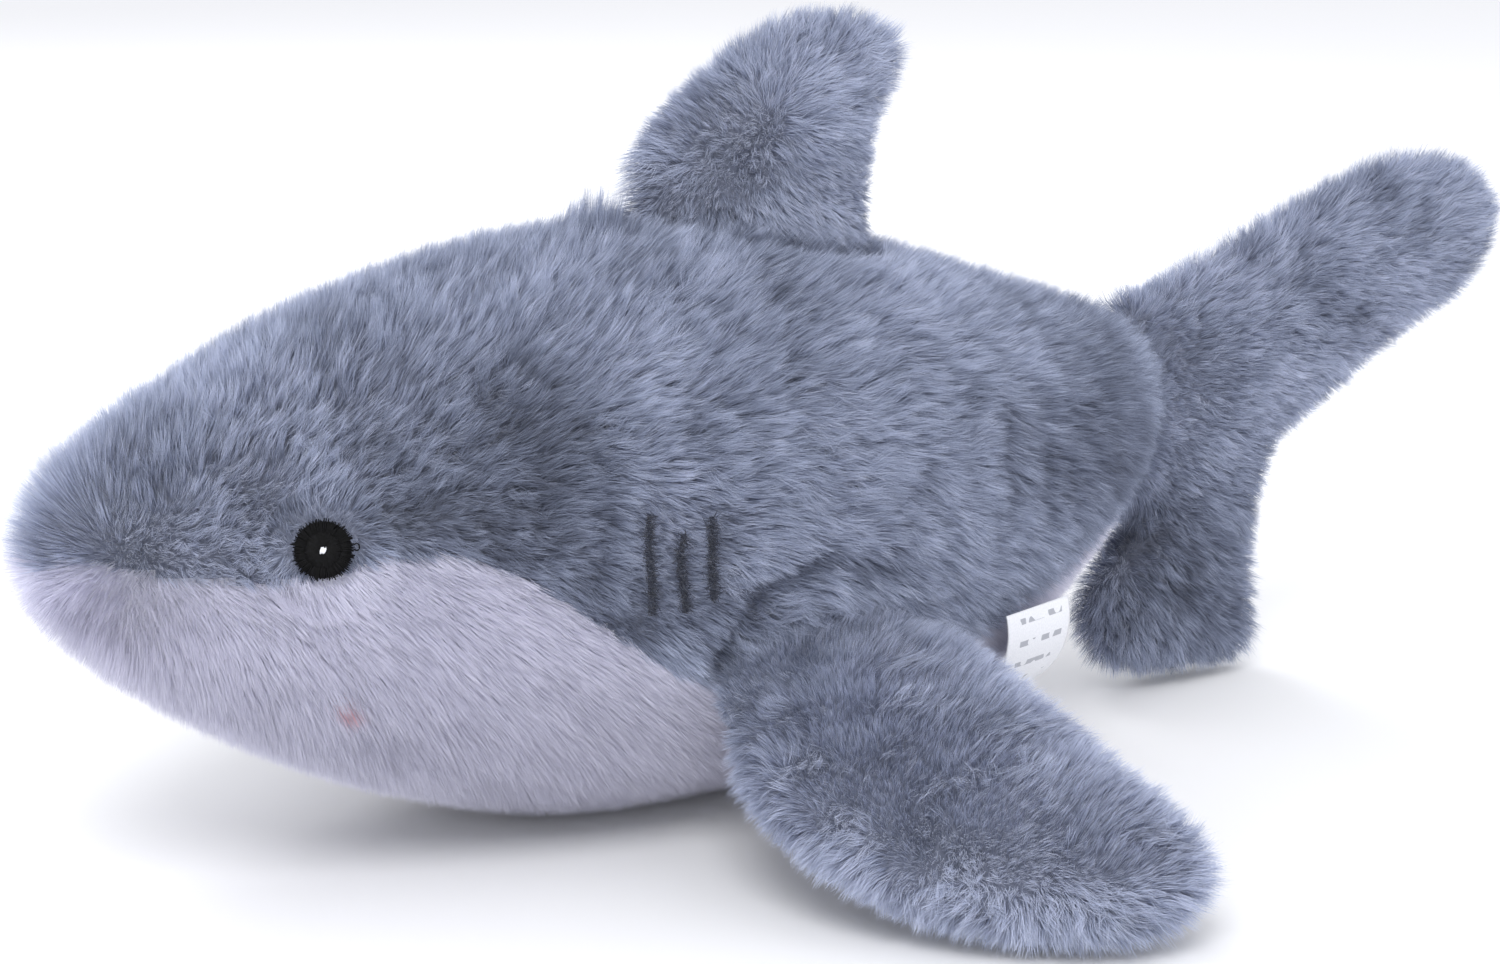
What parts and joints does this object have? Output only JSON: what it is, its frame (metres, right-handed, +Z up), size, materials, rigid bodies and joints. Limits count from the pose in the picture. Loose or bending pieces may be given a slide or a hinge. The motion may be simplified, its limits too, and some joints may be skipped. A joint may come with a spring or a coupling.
{
  "type": "plush shark",
  "caption": "Stuffed long-pile plush shark lying on its belly, with floppy padded fins, a side-to-side tail, embroidered eyes and gills and a satin care label.",
  "frame": {"origin": "middle of the flat of the belly that rests on the table", "axes": "+X towards the tail, +Y towards the shark's right side, +Z up"},
  "size_m": [0.405, 0.3118, 0.1679],
  "materials": {
    "grey_fur": "matte",
    "white_fur": "matte",
    "stuffing": "matte",
    "seam_thread": "matte",
    "white_thread": "satin",
    "black_thread": "satin",
    "gill_thread": "matte",
    "satin_label": "satin"
  },
  "bodies": {
    "torso": {"side_panel_left": "grey_fur", "side_panel_right": "grey_fur", "belly_panel": "white_fur", "body_stuffing": "stuffing", "back_seam_thread": "seam_thread", "belly_seam_thread_left": "seam_thread", "belly_seam_thread_right": "seam_thread", "eye_left": "black_thread", "eye_right": "black_thread", "eye_highlight_left": "white_thread", "eye_highlight_right": "white_thread", "gill_stitch_left_front": "gill_thread", "gill_stitch_left_middle": "gill_thread", "gill_stitch_left_rear": "gill_thread", "gill_stitch_right_front": "gill_thread", "gill_stitch_right_middle": "gill_thread", "gill_stitch_right_rear": "gill_thread"},
    "dorsal_fin": {"dorsal_panel_left": "grey_fur", "dorsal_panel_right": "grey_fur", "dorsal_stuffing": "stuffing", "dorsal_seam_thread": "seam_thread"},
    "tail_fin": {"tail_panel_left": "grey_fur", "tail_panel_right": "grey_fur", "tail_stuffing": "stuffing", "tail_seam_thread": "seam_thread"},
    "pectoral_left": {"pectoral_left_panel_upper": "grey_fur", "pectoral_left_panel_lower": "grey_fur", "pectoral_left_stuffing": "stuffing", "pectoral_left_seam_thread": "seam_thread"},
    "pectoral_right": {"pectoral_right_panel_upper": "grey_fur", "pectoral_right_panel_lower": "grey_fur", "pectoral_right_stuffing": "stuffing", "pectoral_right_seam_thread": "seam_thread"},
    "label": {"care_label": "satin_label"}
  },
  "joints": [
    {"name": "dorsal_flop", "type": "hinge", "parent": "torso", "child": "dorsal_fin", "pos_m": [0.0095, 0, 0.1265], "axis": [0.992, 0, -0.1259], "range_deg": [-25, 25], "stiffness_Nm_per_rad": 0.08},
    {"name": "tail_swing", "type": "hinge", "parent": "torso", "child": "tail_fin", "pos_m": [0.1272, 0, 0.065], "axis": [0, 0, 1], "range_deg": [-30, 30], "stiffness_Nm_per_rad": 0.08},
    {"name": "pectoral_left_flap", "type": "hinge", "parent": "torso", "child": "pectoral_left", "pos_m": [-0.009, -0.0593, 0.04], "axis": [-0.9762, 0, -0.217], "range_deg": [-12, 33], "stiffness_Nm_per_rad": 0.08},
    {"name": "pectoral_right_flap", "type": "hinge", "parent": "torso", "child": "pectoral_right", "pos_m": [-0.009, 0.0593, 0.04], "axis": [0.9762, 0, 0.217], "range_deg": [-12, 33], "stiffness_Nm_per_rad": 0.08},
    {"name": "label_flip", "type": "hinge", "parent": "torso", "child": "label", "pos_m": [0.054, -0.0489, 0.04], "axis": [-0.9563, -0.2924, 0], "range_deg": [-4, 75], "stiffness_Nm_per_rad": 0.0004}
  ]
}
